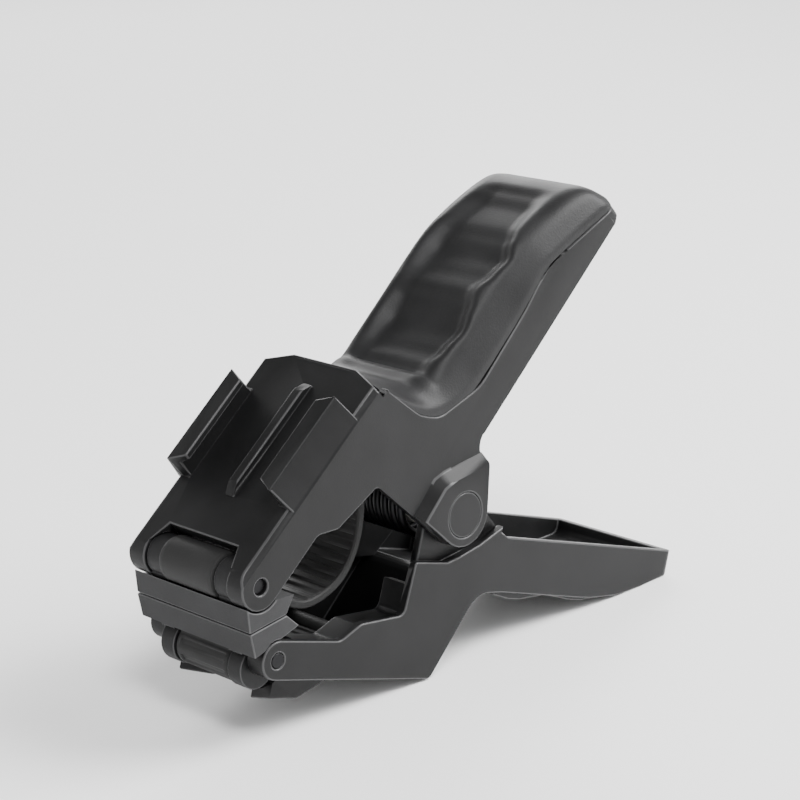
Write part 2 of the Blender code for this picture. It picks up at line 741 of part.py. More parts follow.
def make_spring(parent):
    points = spring_path()
    curve = bpy.data.curves.new("torsion_spring", "CURVE")
    curve.dimensions = "3D"
    curve.bevel_depth = WIRE_R * MM
    curve.bevel_resolution = 2
    curve.use_fill_caps = True
    spline = curve.splines.new("POLY")
    spline.points.add(len(points) - 1)
    for point, co in zip(spline.points, points):
        point.co = (co[0] * MM, co[1] * MM, co[2] * MM, 1)
    spring = curve_to_mesh("torsion_spring", curve, Matrix(), PARTS)
    dress(spring, BLACK_STEEL, parent)


# -------------------------------------------------------------------- pads
# Drawn in the pad's own frame: the tip pin is the origin, X runs back along
# the gripping face, and the face is below. The lower pad is mirrored in Z.

def pad_point(e, n, pin_e):
    return e - pin_e, n - PAD_PIN_HEIGHT


def pad_cutters(knuckle_r, pin_e, flip, target, arms_out):
    """Trough round the knuckles, the bulging loop and arms, and the band's notch behind the pin."""
    spans = [(-30, -KNUCKLE_IN + 0.2), (-ARM_IN + 0.2, ARM_IN - 0.2), (KNUCKLE_IN - 0.2, 30)]
    lobe_half = ARM_IN - 0.2
    if arms_out:
        spans = [(-30, 30)]
        lobe_half = KNUCKLE_IN - 0.2
    for low, high in spans:
        cut(target, disc("knuckle_trough", (0, 0), knuckle_r + 0.5, low, high))
    if flip < 0:
        cut(target, disc("lobe_trough", LOWER_LOBE, LOBE_ARM_R + GAP, -lobe_half, lobe_half))
    notch = [pad_point(e, n, pin_e) for e, n in ((9.2, -1), (20, -1), (20, 9), (9.2, 9))]
    cut(target, prism("band_notch", [(x, flip * z) for x, z in notch], ARM_IN))


def make_pad(name, knuckle_r, pin_e, flip, parent):
    corners = ((0, GAP / 2), (PAD_DEPTH, GAP / 2), (17.2, 4.8), (0.4, 7.4))
    section = [pad_point(e, n, pin_e) for e, n in corners]
    pad = prism(name, [(x, flip * z) for x, z in section], HALF_WIDTH, group=PARTS)
    pad_cutters(knuckle_r, pin_e, flip, pad, True)
    pocket = [pad_point(e, n, pin_e) for e, n in ((1.0, 2.4), (12.6, 2.4), (12.6, 12), (1.0, 12))]
    cut(pad, prism("carrier_pocket", [(x, flip * z) for x, z in pocket], 21.2))
    dress(pad, RUBBER, parent)


def make_carrier(name, knuckle_r, pin_e, flip, parent):
    floor = [pad_point(e, n, pin_e) for e, n in ((1.3, 2.7), (12.3, 2.7), (12.3, 5.2), (1.3, 6.4))]
    carrier = prism(name, [(x, flip * z) for x, z in floor], 20.9, group=PARTS)
    pad_cutters(knuckle_r, pin_e, flip, carrier, False)
    for side in (-1, 1):
        low, high = sorted((side * ARM_IN, side * ARM_OUT))
        web = [pad_point(e, n, pin_e) for e, n in ((1.3, 3.2), (11.8, 3.2), (11.8, 7.0), (1.3, 8.6))]
        web.insert(2, (3.5, -1.0))
        web.insert(3, (-3.5, -1.0))
        fuse(carrier, slab("arm_web", [(x, flip * z) for x, z in web_outline(web)], low, high))
        fuse(carrier, disc("arm_ring", (0, 0), UPPER_ARM_R if flip > 0 else LOWER_ARM_R, low, high))
        if flip < 0:
            fuse(carrier, disc("arm_lobe", LOWER_LOBE, LOBE_ARM_R, low + 0.05, high - 0.05))
    cut(carrier, disc("arm_bore", (0, 0), PIN_R + 0.15, -30, 30, segments=24))
    dress(carrier, CARRIER, parent)


def web_outline(points):
    """Convex outline round the given points."""
    middle = Vector((sum(p[0] for p in points), sum(p[1] for p in points))) / len(points)
    return sorted(points, key=lambda p: math.atan2(p[1] - middle.y, p[0] - middle.x))


# ------------------------------------------------------------------- bands

def smooth_path(points, steps=5):
    """Catmull-Rom curve through the points."""
    ends = [points[0]] + list(points) + [points[-1]]
    path = []
    for i in range(1, len(ends) - 2):
        p0, p1, p2, p3 = (Vector(p) for p in ends[i - 1:i + 3])
        for k in range(steps):
            t = k / steps
            path.append(0.5 * (2 * p1 + (p2 - p0) * t + (2 * p0 - 5 * p1 + 4 * p2 - p3) * t * t
                               + (3 * p1 - p0 - 3 * p2 + p3) * t ** 3))
    path.append(Vector(points[-1]))
    return path


def strip_outline(path, thick):
    """Outline of a strip of even thickness along a path."""
    left, right = [], []
    for i, point in enumerate(path):
        along = (path[min(i + 1, len(path) - 1)] - path[max(i - 1, 0)]).normalized()
        off = Vector((-along.y, along.x)) * thick / 2
        left.append(tuple(point + off))
        right.append(tuple(point - off))
    return left + right[::-1]


def lobe_in_clamp():
    """Centre of the lower loop's bulge in the clamp's frame."""
    angle = math.radians(PAD_ANGLE)
    x, z = LOWER_LOBE
    return (LOWER_PIN[0] + x * math.cos(angle) - z * math.sin(angle),
            LOWER_PIN[1] + x * math.sin(angle) + z * math.cos(angle))


def make_band(name, pin, loop_r, route, rod, parent, lobe=None):
    """Loop round the tip pin, strip through the mouth and loop round the rear rod."""
    band = disc(name, pin, loop_r, -BAND_HALF, BAND_HALF, PARTS)
    if lobe:
        fuse(band, disc(name + "_lobe", lobe, LOBE_BAND_R, 0.1 - BAND_HALF, BAND_HALF - 0.1))
    strip = prism(name + "_strip", strip_outline(smooth_path([pin, *route, rod]), 2.4), BAND_HALF - 0.2)
    fuse(band, strip)
    fuse(band, disc(name + "_eye", rod, ROD_R + 1.7, 0.4 - BAND_HALF, BAND_HALF - 0.4, segments=24))
    cut(band, disc(name + "_pin_bore", pin, PIN_R + 0.15, -30, 30, segments=24))
    cut(band, disc(name + "_rod_bore", rod, ROD_R + 0.15, -30, 30, segments=20))
    dress(band, BAND, parent)


# ------------------------------------------------------------------- build

def make_screw(name, place, seat, tip, parent):
    """Pan-head screw with its head in the channel and its tip in the grip."""
    sense = 1 if tip > seat else -1
    screw = screw_bar(name, HEAD_R, *sorted((seat - sense * HEAD_HEIGHT, seat)), place, PARTS)
    fuse(screw, screw_bar(name + "_shank", SHANK_R, *sorted((seat - sense, tip)), place))
    dress(screw, STEEL, parent)


def build():
    root = empty("clamp_frame", (0, 0), STAND_TILT, None)
    lower = empty("lower_lever_axis", (0, 0), 0, root)
    upper = empty("upper_lever_axis", (0, 0), 0, root)
    upper_pad = empty("upper_pad_axis", UPPER_PIN, -PAD_ANGLE, upper)
    lower_pad = empty("lower_pad_axis", LOWER_PIN, -PAD_ANGLE, lower)
    make_upper_jaw(upper)
    make_upper_grip(upper)
    make_lower_jaw(lower)
    make_lower_grip(lower)
    make_pivot(lower)
    make_caps(upper)
    make_spring(lower)
    make_tip_pin("upper_tip_pin", HALF_WIDTH - 1.2, empty("upper_pin_axis", UPPER_PIN, 0, upper))
    make_tip_pin("lower_tip_pin", HALF_WIDTH - 0.1, empty("lower_pin_axis", LOWER_PIN, 0, lower))
    make_rod("upper_band_rod", UPPER_ROD, upper)
    make_rod("lower_band_rod", LOWER_ROD, lower)
    make_pad("upper_pad", UPPER_KNUCKLE_R, UPPER_PAD_PIN_E, 1, upper_pad)
    make_pad("lower_pad", LOWER_KNUCKLE_R, LOWER_PAD_PIN_E, -1, lower_pad)
    make_carrier("upper_pad_carrier", UPPER_KNUCKLE_R, UPPER_PAD_PIN_E, 1, upper_pad)
    make_carrier("lower_pad_carrier", LOWER_KNUCKLE_R, LOWER_PAD_PIN_E, -1, lower_pad)
    make_band("upper_band", UPPER_PIN, UPPER_KNUCKLE_R - 0.1,
              [(-60, -27.0), (-50, -30.3), (-41, -30.2), (-31.5, -23.5), (-27.5, -13.2), (-28.4, -1)],
              UPPER_ROD, upper)
    make_band("lower_band", LOWER_PIN, LOWER_KNUCKLE_R - 0.1,
              [(-52, -41.8), (-42, -42.6), (-32, -43.0)], LOWER_ROD, lower, lobe_in_clamp())
    for end, (s, seat) in zip(("low", "high"), UPPER_SCREWS):
        make_screw(f"upper_grip_screw_{end}", handle_frame(s, 0), seat, UPPER_SCREW_TIP, upper)
    for end, x in zip(("front", "rear"), LOWER_SCREWS):
        make_screw(f"lower_grip_screw_{end}", underside_frame(x), LOWER_SCREW_SEAT, LOWER_SCREW_TIP, lower)
    return root


def stand_on_floor(root):
    """Moves the clamp so that the origin is at the middle of its underside."""
    bpy.context.view_layer.update()
    graph = bpy.context.evaluated_depsgraph_get()
    points = []
    for obj in PARTS.objects:
        shown = obj.evaluated_get(graph)
        points.extend(shown.matrix_world @ v.co for v in shown.data.vertices)
    low = [min(p[i] for p in points) for i in range(3)]
    high = [max(p[i] for p in points) for i in range(3)]
    root.location = (-(low[0] + high[0]) / 2, -(low[1] + high[1]) / 2, -low[2])


clear_scene()
PARTS = new_collection("spring_jaw_clamp")
CUTTERS = new_collection("cutters")
BLACK = material("black_nylon", (0.035, 0.035, 0.037), 0.45)
SATIN = material("satin_grip", (0.045, 0.045, 0.047), 0.6)
CARRIER = material("carrier_nylon", (0.05, 0.05, 0.052), 0.5)
RUBBER = material("pad_rubber", (0.07, 0.07, 0.072), 0.7)
BAND = material("band_rubber", (0.05, 0.05, 0.05), 0.65)
STEEL = material("steel", (0.55, 0.55, 0.56), 0.3, 1.0)
BLACK_STEEL = material("black_steel", (0.06, 0.06, 0.062), 0.35, 1.0)
NYLON = material("natural_nylon", (0.6, 0.6, 0.55), 0.5)
stand_on_floor(build())
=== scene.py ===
import json
import math

import bmesh
import bpy
from mathutils import Matrix, Vector

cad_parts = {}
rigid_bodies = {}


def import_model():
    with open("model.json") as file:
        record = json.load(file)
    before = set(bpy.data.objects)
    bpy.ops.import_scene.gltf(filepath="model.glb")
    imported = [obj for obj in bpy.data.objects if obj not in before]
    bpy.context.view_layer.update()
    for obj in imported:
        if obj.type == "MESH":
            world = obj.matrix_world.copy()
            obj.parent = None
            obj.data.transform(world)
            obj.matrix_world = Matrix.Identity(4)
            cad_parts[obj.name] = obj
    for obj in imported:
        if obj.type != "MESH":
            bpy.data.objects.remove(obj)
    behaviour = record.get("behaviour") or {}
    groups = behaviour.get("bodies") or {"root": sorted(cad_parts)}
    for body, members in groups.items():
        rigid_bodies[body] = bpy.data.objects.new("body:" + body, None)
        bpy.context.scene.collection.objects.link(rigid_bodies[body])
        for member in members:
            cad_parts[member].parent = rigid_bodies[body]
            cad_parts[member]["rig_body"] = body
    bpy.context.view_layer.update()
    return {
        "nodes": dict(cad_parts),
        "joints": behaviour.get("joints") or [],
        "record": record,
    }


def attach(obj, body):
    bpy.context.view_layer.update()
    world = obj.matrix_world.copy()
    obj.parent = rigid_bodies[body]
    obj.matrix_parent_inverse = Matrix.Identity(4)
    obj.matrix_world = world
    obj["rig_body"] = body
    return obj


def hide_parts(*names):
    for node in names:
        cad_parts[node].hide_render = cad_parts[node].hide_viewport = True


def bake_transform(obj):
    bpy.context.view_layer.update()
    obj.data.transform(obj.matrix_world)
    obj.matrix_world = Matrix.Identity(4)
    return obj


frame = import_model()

# Shapes are drawn in mm in the clamp's own frame: the main pivot is the origin, X runs back along the flat
# bottom of the lower jaw, Y runs along the pivot and Z is up. TO_WORLD stands the clamp up, in metres.
MM = 0.001
TILT = math.radians(18.05)
PIVOT = Vector(next(joint["pos_m"] for joint in frame["joints"] if joint["name"] == "jaw_open"))
TO_WORLD = Matrix.Translation(PIVOT) @ Matrix.Rotation(TILT, 4, "Y") @ Matrix.Scale(MM, 4)
SLOTS = {entry["node"]: entry["material_slot"] for entry in frame["record"]["subparts"]}

# Open edge of the upper handle: where it starts, and its angle
HANDLE_ORIGIN = (4.9, 22.4)
HANDLE_ANGLE = math.radians(59.5)


# ---------------------------------------------------------------- helpers

def link(obj):
    bpy.context.scene.collection.objects.link(obj)
    return obj


def handle(s, d):
    """Point of the upper handle in the clamp's frame: s up the handle, d off its open edge."""
    return (HANDLE_ORIGIN[0] + s * math.cos(HANDLE_ANGLE) - d * math.sin(HANDLE_ANGLE),
            HANDLE_ORIGIN[1] + s * math.sin(HANDLE_ANGLE) + d * math.cos(HANDLE_ANGLE))


def up_handle(point):
    """How far up the handle a point of the clamp's frame lies."""
    off = point - Vector(HANDLE_ORIGIN)
    return off.x * math.cos(HANDLE_ANGLE) + off.y * math.sin(HANDLE_ANGLE)


def catmull(points, t):
    """Smooth curve through points, at t from 0 to len(points) - 1."""
    last = len(points) - 1
    i = min(int(t), last - 1)
    u = t - i
    p0, p1, p2, p3 = (Vector(points[max(0, min(last, i + k))]) for k in (-1, 0, 1, 2))
    return 0.5 * (2 * p1 + (p2 - p0) * u + (2 * p0 - 5 * p1 + 4 * p2 - p3) * u * u
                  + (3 * p1 - p0 - 3 * p2 + p3) * u ** 3)


def ease(value, low, high):
    """0 before low, 1 after high, smooth between."""
    t = max(0.0, min(1.0, (value - low) / (high - low)))
    return t * t * (3 - 2 * t)


def add_ring(bm, points):
    """One vertex for each point of the clamp's frame."""
    return [bm.verts.new(TO_WORLD @ Vector(point)) for point in points]


def skin(bm, rings):
    """Closed surface through rings of vertices, with a face at each end."""
    count = len(rings[0])
    for a, b in zip(rings, rings[1:]):
        for j in range(count):
            k = (j + 1) % count
            bm.faces.new((a[j], a[k], b[k], b[j]))
    bm.faces.new(rings[0])
    bm.faces.new(rings[-1][::-1])


def place(bm, name, body, slot, node, sharp=40):
    """Turns a bmesh in metres, in the row frame, into a finished piece; one without a body stays loose."""
    mesh = bpy.data.meshes.new(name)
    bmesh.ops.recalc_face_normals(bm, faces=bm.faces)
    bm.to_mesh(mesh)
    bm.free()
    mesh.shade_smooth()
    mesh.set_sharp_from_angle(angle=math.radians(sharp))
    mesh.materials.append(PAINT[slot])
    obj = link(bpy.data.objects.new(name, mesh))
    if body:
        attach(obj, body)
    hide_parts(node)
    return obj


# -------------------------------------------------------------- materials

FINE_DETAIL = 3.0               # of the noise that makes the surface grain
PATCH_SCALE = 45.0              # of the noise that changes tone and gloss from place to place
PATCH_DETAIL = 5.0
PATCH_LOW = 0.3                 # values of that noise between which the change happens
PATCH_HIGH = 0.7
GLOSS_CHANGE = 0.05             # of the roughness, up and down
WEAR_AND_HIGHLIGHT_COLOUR = (0.3, 0.3, 0.305, 1)   # colour of the rounded edges: bare, rubbed plastic and a painted highlight
GRAIN_DEPTH = 0.00008           # m
SPECULAR = 0.17


def add_noise(tree, coord, scale, detail):
    """Noise over a piece's own coordinates."""
    noise = tree.nodes.new("ShaderNodeTexNoise")
    noise.inputs["Scale"].default_value = scale
    noise.inputs["Detail"].default_value = detail
    tree.links.new(coord.outputs["Object"], noise.inputs["Vector"])
    return noise.outputs["Fac"]


def add_tone(tree, patches, colour, speck):
    """The colour, a share darker and lighter from patch to patch."""
    tone = tree.nodes.new("ShaderNodeValToRGB")
    low, high = tone.color_ramp.elements
    low.position = PATCH_LOW
    high.position = PATCH_HIGH
    low.color = (*(c * (1 - speck) for c in colour), 1)
    high.color = (*(c * (1 + speck) for c in colour), 1)
    tree.links.new(patches, tone.inputs["Fac"])
    return tone.outputs["Color"]


def add_wear_and_highlight(tree, edge_wear_and_highlight):
    """How much of the paler edge colour a face takes, partly rubbed wear and partly a painted highlight:
    full on the faces that round an edge, 0 elsewhere.
    """
    rim = tree.nodes.new("ShaderNodeAttribute")
    rim.attribute_name = "edge"
    wear_and_highlight_mask = tree.nodes.new("ShaderNodeMapRange")
    wear_and_highlight_mask.inputs["To Max"].default_value = edge_wear_and_highlight
    tree.links.new(rim.outputs["Fac"], wear_and_highlight_mask.inputs["Value"])
    return wear_and_highlight_mask.outputs["Result"]


def add_gloss(tree, patches, wear_and_highlight_mask, roughness):
    """The roughness, changing from patch to patch and lower where the surface is rubbed."""
    gloss = tree.nodes.new("ShaderNodeMapRange")
    gloss.inputs["From Min"].default_value = PATCH_LOW
    gloss.inputs["From Max"].default_value = PATCH_HIGH
    gloss.inputs["To Min"].default_value = roughness - GLOSS_CHANGE
    gloss.inputs["To Max"].default_value = roughness + GLOSS_CHANGE
    tree.links.new(patches, gloss.inputs["Value"])
    polish = tree.nodes.new("ShaderNodeMath")
    polish.operation = "SUBTRACT"
    tree.links.new(gloss.outputs["Result"], polish.inputs[0])
    tree.links.new(wear_and_highlight_mask, polish.inputs[1])
    return polish.outputs["Value"]


def moulded(name, colour, roughness, grain, bump, speck=0.25, edge_wear_and_highlight=0.16):
    """Moulded plastic or rubber: fine grain, slow changes of tone and gloss, and paler, glossier edges,
    whose paler colour is partly rubbed wear and partly a painted highlight.
    """
    mat = bpy.data.materials.new(name)
    mat.use_nodes = True
    tree = mat.node_tree
    shader = tree.nodes["Principled BSDF"]
    shader.inputs["Specular IOR Level"].default_value = SPECULAR
    coord = tree.nodes.new("ShaderNodeTexCoord")
    fine = add_noise(tree, coord, grain, FINE_DETAIL)
    patches = add_noise(tree, coord, PATCH_SCALE, PATCH_DETAIL)
    wear_and_highlight_mask = add_wear_and_highlight(tree, edge_wear_and_highlight)
    # the rounded edges take a paler colour: partly rubbed wear, partly a painted highlight
    base = tree.nodes.new("ShaderNodeMix")
    base.data_type = "RGBA"
    base.inputs["B"].default_value = WEAR_AND_HIGHLIGHT_COLOUR
    tree.links.new(wear_and_highlight_mask, base.inputs["Factor"])
    tree.links.new(add_tone(tree, patches, colour, speck), base.inputs["A"])
    tree.links.new(base.outputs["Result"], shader.inputs["Base Color"])
    tree.links.new(add_gloss(tree, patches, wear_and_highlight_mask, roughness), shader.inputs["Roughness"])
    relief = tree.nodes.new("ShaderNodeBump")
    relief.inputs["Strength"].default_value = bump
    relief.inputs["Distance"].default_value = GRAIN_DEPTH
    tree.links.new(fine, relief.inputs["Height"])
    tree.links.new(relief.outputs["Normal"], shader.inputs["Normal"])
    return mat


def brushed(name, colour, roughness):
    """Metal: a faint, fine grain and no paler edges, neither rubbed nor painted as a highlight."""
    mat = moulded(name, colour, roughness, grain=2500.0, bump=0.2, speck=0.06, edge_wear_and_highlight=0.0)
    mat.node_tree.nodes["Principled BSDF"].inputs["Metallic"].default_value = 1.0
    return mat


PAINT = {
    "black_nylon": moulded("black_nylon", (0.0085, 0.0085, 0.0088), 0.36, grain=2600.0, bump=0.35),
    "satin_grip": moulded("satin_grip", (0.0165, 0.0165, 0.017), 0.44, grain=1700.0, bump=0.7),
    "carrier_nylon": moulded("carrier_nylon", (0.012, 0.012, 0.0125), 0.42, grain=2200.0, bump=0.35),
    "pad_rubber": moulded("pad_rubber", (0.03, 0.03, 0.031), 0.55, grain=1500.0, bump=0.6),
    "band_rubber": moulded("band_rubber", (0.02, 0.02, 0.02), 0.5, grain=1500.0, bump=0.5),
    "steel": brushed("steel", (0.5, 0.5, 0.51), 0.32),
    "black_steel": brushed("black_steel", (0.022, 0.022, 0.023), 0.4),
    "natural_nylon": moulded("natural_nylon", (0.55, 0.55, 0.5), 0.45, grain=1500.0, bump=0.3, speck=0.05),
}


# --------------------------------------------------------------- CAD nodes

# Widths in mm to which the edges of the pieces that show are rounded
ROUNDING = {"upper_jaw": 0.45, "lower_jaw": 0.45, "upper_pad": 0.35, "lower_pad": 0.35,
            "upper_pad_carrier": 0.3, "lower_pad_carrier": 0.3, "lower_grip": 0.4,
            "pivot_cap_near": 0.35, "pivot_cap_far": 0.35, "upper_tip_pin": 0.3, "lower_tip_pin": 0.3}
ROUND_SEGMENTS = 3
ROUND_FROM = math.radians(28)   # edges that turn more than this are rounded
FLAT = math.radians(0.6)        # turn between facets that are one flat face
WELD = 2e-6                     # m between vertices that are one
SLIVER = 1e-12                  # m2, twice the area of a triangle too thin to face anywhere
FACE_ROOM = 1.3                 # least width of a face beside a rounded edge, in widths of the rounding
MEETING_ROOM = 2.1              # least length of an edge that meets it, in the same
STRAIGHT_ON = 0.8               # cosine of the turn below which a meeting edge only carries it on
CLEAR = 0.0008                  # m left unrounded round a corner that has no room
ROUND_TRIES = 12
FAINT_ROUNDING = 0.1            # share of the width that is left when every try folds


def has_room(edge, width):
    """True where the faces beside an edge and the edges that meet it leave room to round it."""
    if min(face.calc_area() for face in edge.link_faces) < FACE_ROOM * width * edge.calc_length():
        return False
    for vert in edge.verts:
        along = (edge.other_vert(vert).co - vert.co).normalized()
        for near in vert.link_edges:
            off = near.other_vert(vert).co - vert.co
            short = off.length < MEETING_ROOM * width
            if near is not edge and short and abs(off.normalized().dot(along)) < STRAIGHT_ON:
                return False
    return True


def folded_spots(bm):
    """Corners of the triangles that lie the wrong way round in their own face."""
    bm.normal_update()
    spots = []
    for corners in bm.calc_loop_triangles():
        a, b, c = (corner.vert.co for corner in corners)
        turn = (b - a).cross(c - a)
        if turn.length > SLIVER and turn.dot(corners[0].face.normal) < 0:
            spots.extend((a.copy(), b.copy(), c.copy()))
    return spots


def round_edges(mesh, width, spots):
    """Copy of a mesh as a bmesh with its sharp edges rounded, except those near the given spots."""
    bm = bmesh.new()
    bm.from_mesh(mesh)
    bmesh.ops.remove_doubles(bm, verts=bm.verts, dist=WELD)
    bmesh.ops.dissolve_limit(bm, angle_limit=FLAT, verts=bm.verts, edges=bm.edges)
    edges = [e for e in bm.edges if len(e.link_faces) == 2 and e.calc_face_angle(0) > ROUND_FROM
             and has_room(e, width)]
    for spot in spots:
        edges = [e for e in edges if min((v.co - spot).length for v in e.verts) > CLEAR]
    bmesh.ops.bevel(bm, geom=edges, offset=width, offset_type="OFFSET", segments=ROUND_SEGMENTS,
                    profile=0.5, clamp_overlap=False, affect="EDGES", material=1)
    return bm


def round_without_folds(mesh, width):
    """Rounds a mesh's edges, leaving out more of them round the corners that fold until none does."""
    spots = []
    for _ in range(ROUND_TRIES):
        bm = round_edges(mesh, width, spots)
        folded = folded_spots(bm)
        if not folded:
            return bm
        spots.extend(folded)
        bm.free()
    return round_edges(mesh, FAINT_ROUNDING * width, spots)


def rounded_copy(node, width):
    """Copy of a CAD node with its flat facets merged and its edges rounded and marked for the paler edge
    colour, which is rubbed wear and a painted highlight.
    """
    source = frame["nodes"][node]
    bm = round_without_folds(source.data, width * MM)
    # the faces that round an edge are marked for the paler colour, which is rubbed wear and a painted
    # highlight
    rim = bm.loops.layers.float.new("edge")
    for face in bm.faces:           # the bevel left material 1 on its own faces
        for loop in face.loops:
            loop[rim] = face.material_index
        face.material_index = 0
    copy = place(bm, node + "_shape", source["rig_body"], SLOTS[node], node)
    flat = copy.modifiers.new("flat_faces", "WEIGHTED_NORMAL")
    flat.keep_sharp = True
    flat.weight = 100               # the large flat faces set the shading, not the rounding beside them


for node, obj in frame["nodes"].items():
    obj.data.materials.clear()
    obj.data.materials.append(PAINT[SLOTS[node]])

for node, width in ROUNDING.items():
    rounded_copy(node, width)


# -------------------------------------------------------------- upper grip

GRIP_HALF = 23.7                # half width of the cover
CREST_HALF = 19.3               # half width of its crest on the handle
CREST_NARROWING = 0.9           # how much the crest narrows for 1 that the cover narrows
SHOULDER_LEAST = 0.6            # by which the crest stays narrower than the cover
LOWER_EDGE = 2.4                # height of the rounded lower edge on the handle
HANDLE_END = 84.4               # place of the cover's end up the handle
END_ROUND = 5.0                 # radius of that end's corners in plan
ROWS_PER_STATION = 5
EDGE_REACH = 1.4                # of the rounded lower edge, along its sides
EDGE_STEPS = 5
SHOULDER_REACH = 5.2            # of the rounded shoulder, along its sides
SHOULDER_STEPS = 12
SIDE_STEPS = 5
ACROSS_STEPS = 24

# Finger hollows: place up the handle, depth under the crest and reach to the near side
HOLLOW = ((-4, 0.0, 15), (6, 1.6, 17.5), (12, 3.4, 19.0), (20, 4.6, 20.2), (27, 3.7, 18.6),
          (33, 2.2, 16.6), (40, 3.6, 19.2), (46, 4.4, 20.2), (52, 3.4, 17.5), (58, 2.4, 15.6),
          (65, 2.5, 15.0), (71, 1.3, 14.6), (76, 0.0, 14), (90, 0.0, 14))
HOLLOW_FAR = 17.8               # most that they reach to the far side
HOLLOW_FLANK = 7.5              # width of their sloping sides, inside that reach
HOLLOW_RUN_OUT = 0.4            # and outside it
SINK_FROM = 0.45                # share of the cover's height above which a hollow lowers its sides
TOE_STATIONS = 6                # stations that lie off the handle
TOE_PACE = 0.5                  # place up the handle that each of them counts for in the hollows


def grip_stations():
    """From the toe behind the plate to the handle's end: seam point, crest point, half width of the
    crest and height of the rounded lower edge."""
    rows = [((-41.4, 32.3), (-41.4, 36.0), 12.4, 0.6),
            ((-40.2, 32.1), (-40.0, 35.9), 12.4, 0.7),
            ((-34, 30.4), (-33.5, 35.1), 13.5, 1.2),
            ((-27, 28.1), (-27.5, 34.6), 15.0, 1.8),
            ((-20.5, 27.0), (-22.0, 34.9), 17.0, 2.2),
            ((-14.5, 27.6), (-18.4, 37.2), 18.6, LOWER_EDGE),
            (handle(-1, 16.4), handle(3.2, 26.2), CREST_HALF, LOWER_EDGE),
            (handle(7, 13.8), handle(9, 26.5), CREST_HALF, LOWER_EDGE)]
    for s, seam, crest in ((16, 13.2, 26.5), (24, 13.2, 26.4), (32, 13.2, 26.4), (40, 13.6, 26.3),
                           (47, 14.2, 26.0), (53, 14.1, 25.2), (59, 12.4, 23.8), (65, 10.4, 22.0),
                           (71, 8.3, 19.9), (76, 6.5, 17.7), (80, 5.1, 15.2), (82.6, 4.2, 12.4),
                           (84.0, 3.8, 9.0), (HANDLE_END, 3.7, 6.0)):
        rows.append((handle(s, seam), handle(s, crest), CREST_HALF, LOWER_EDGE))
    return rows


def hollow_at(s):
    """Depth and reach of the finger hollows at a place up the handle."""
    for (s0, depth0, reach0), (s1, depth1, reach1) in zip(HOLLOW, HOLLOW[1:]):
        if s0 <= s < s1:
            t = ease(s, s0, s1)
            return depth0 + (depth1 - depth0) * t, reach0 + (reach1 - reach0) * t
    return HOLLOW[-1][1:]


def sink(s, y):
    """How far the finger hollows lower the crest at a place up the handle and across it."""
    depth, near = hollow_at(s)
    reach = near if y < 0 else min(near, HOLLOW_FAR)
    return depth * (1 - ease(abs(y), reach - HOLLOW_FLANK, reach + HOLLOW_RUN_OUT))


def soft_corner(before, corner, after, reach, steps):
    """Points that round a corner, from reach before it to reach after it."""
    start = corner + (before - corner).normalized() * min(reach, (before - corner).length * 0.5)
    end = corner + (after - corner).normalized() * min(reach, (after - corner).length * 0.5)
    points = []
    for k in range(steps + 1):
        t = k / steps
        points.append(start.lerp(corner, t).lerp(corner.lerp(end, t), t))
    return points


def grip_section(height, half, crest_half, edge):
    """Half section from the seam to the middle: distance from the middle plane and height over the seam."""
    foot = Vector((half, 0))
    side = Vector((half, edge))
    top = Vector((crest_half, height))
    middle = Vector((0, height))
    lower_edge = soft_corner(foot, side, top, EDGE_REACH, EDGE_STEPS)
    shoulder = soft_corner(side, top, middle, SHOULDER_REACH, SHOULDER_STEPS)
    flank = [lower_edge[-1].lerp(shoulder[0], k / SIDE_STEPS) for k in range(1, SIDE_STEPS)]
    inner = shoulder[-1].x
    crest = [Vector((inner * (1 - k / ACROSS_STEPS), height)) for k in range(1, ACROSS_STEPS + 1)]
    return [foot, *lower_edge, *flank, *shoulder, *crest]


def grip_ring(rows, t):
    """Points round the cover at row t, with the finger hollows sunk into it."""
    seam = catmull([row[0] for row in rows], t)
    crest = catmull([row[1] for row in rows], t)
    crest_half, edge = catmull([row[2:] for row in rows], t)
    s = HOLLOW[0][0] + TOE_PACE * t if t < TOE_STATIONS else up_handle(crest)
    up = crest - seam
    height = up.length
    up.normalize()
    inset = max(0.0, s - (HANDLE_END - END_ROUND))
    narrow = END_ROUND - math.sqrt(max(0.0, END_ROUND ** 2 - inset ** 2))
    half = GRIP_HALF - narrow
    top_half = min(half - SHOULDER_LEAST, crest_half - CREST_NARROWING * narrow)
    section = grip_section(height, half, top_half, min(edge, height * 0.5))
    points = []
    for y, h in [(-p.x, p.y) for p in section] + [(p.x, p.y) for p in reversed(section[:-1])]:
        p = seam + up * (h - ease(h / height, SINK_FROM, 1.0) * sink(s, y))
        points.append((p.x, y, p.y))
    return points


def make_upper_grip():
    rows = grip_stations()
    bm = bmesh.new()
    count = (len(rows) - 1) * ROWS_PER_STATION + 1
    skin(bm, [add_ring(bm, grip_ring(rows, i / ROWS_PER_STATION)) for i in range(count)])
    place(bm, "upper_grip_cover", "upper_lever", "satin_grip", "upper_grip", sharp=50)


make_upper_grip()


# ------------------------------------------------------------------- bands

UPPER_PIN = (-72.5, -23.6)      # tip pins, inside the bands' front loops
LOWER_PIN = (-61.0, -43.9)
UPPER_ROD = (-33.5, 13.5)       # rods in their rear eyes
LOWER_ROD = (-24.5, -40.5)
UPPER_ROUTE = [UPPER_PIN, (-60, -27.0), (-50, -30.3), (-41, -30.2), (-31.5, -23.5), (-27.5, -13.2),
               (-28.4, -1), UPPER_ROD]
LOWER_ROUTE = [LOWER_PIN, (-52, -41.8), (-42, -42.6), (-32, -43.0), LOWER_ROD]
UPPER_LOOP_R = 6.7
LOWER_LOOP_R = 5.5
LOWER_LOBE = (-0.37, -3.7, 5.9)     # centre from the pin and radius of the lower loop's bulge
LOOP_HALF = 10.9                # half width of the front loops
EYE_R = 3.2
EYE_HALF = 10.5

